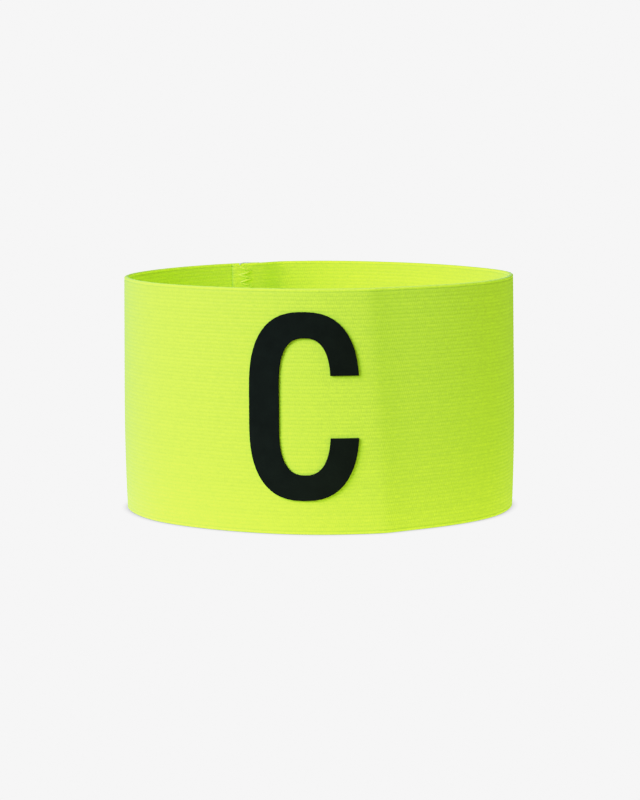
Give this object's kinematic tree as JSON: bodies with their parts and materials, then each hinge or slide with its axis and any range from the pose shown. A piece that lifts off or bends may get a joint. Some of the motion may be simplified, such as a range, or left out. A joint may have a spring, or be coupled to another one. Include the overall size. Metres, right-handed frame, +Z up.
{
  "type": "captain armband",
  "caption": "Wide loop of ribbed elastic standing on its edge, lapped and sewn at the back, with a raised flock letter on the front.",
  "frame": {"origin": "middle of the footprint, on the surface that the loop's lower edge stands on", "axes": "+Z up along the loop's opening, -Y towards the front with the letter, +X to the right as seen from the front"},
  "size_m": [0.1168, 0.0962, 0.07],
  "materials": {
    "elastic": "matte fluorescent yellow-green ribbed elastic",
    "flock": "matte near-black flock"
  },
  "bodies": {
    "root": {"elastic_band": "elastic", "captain_letter": "flock"}
  },
  "joints": []
}
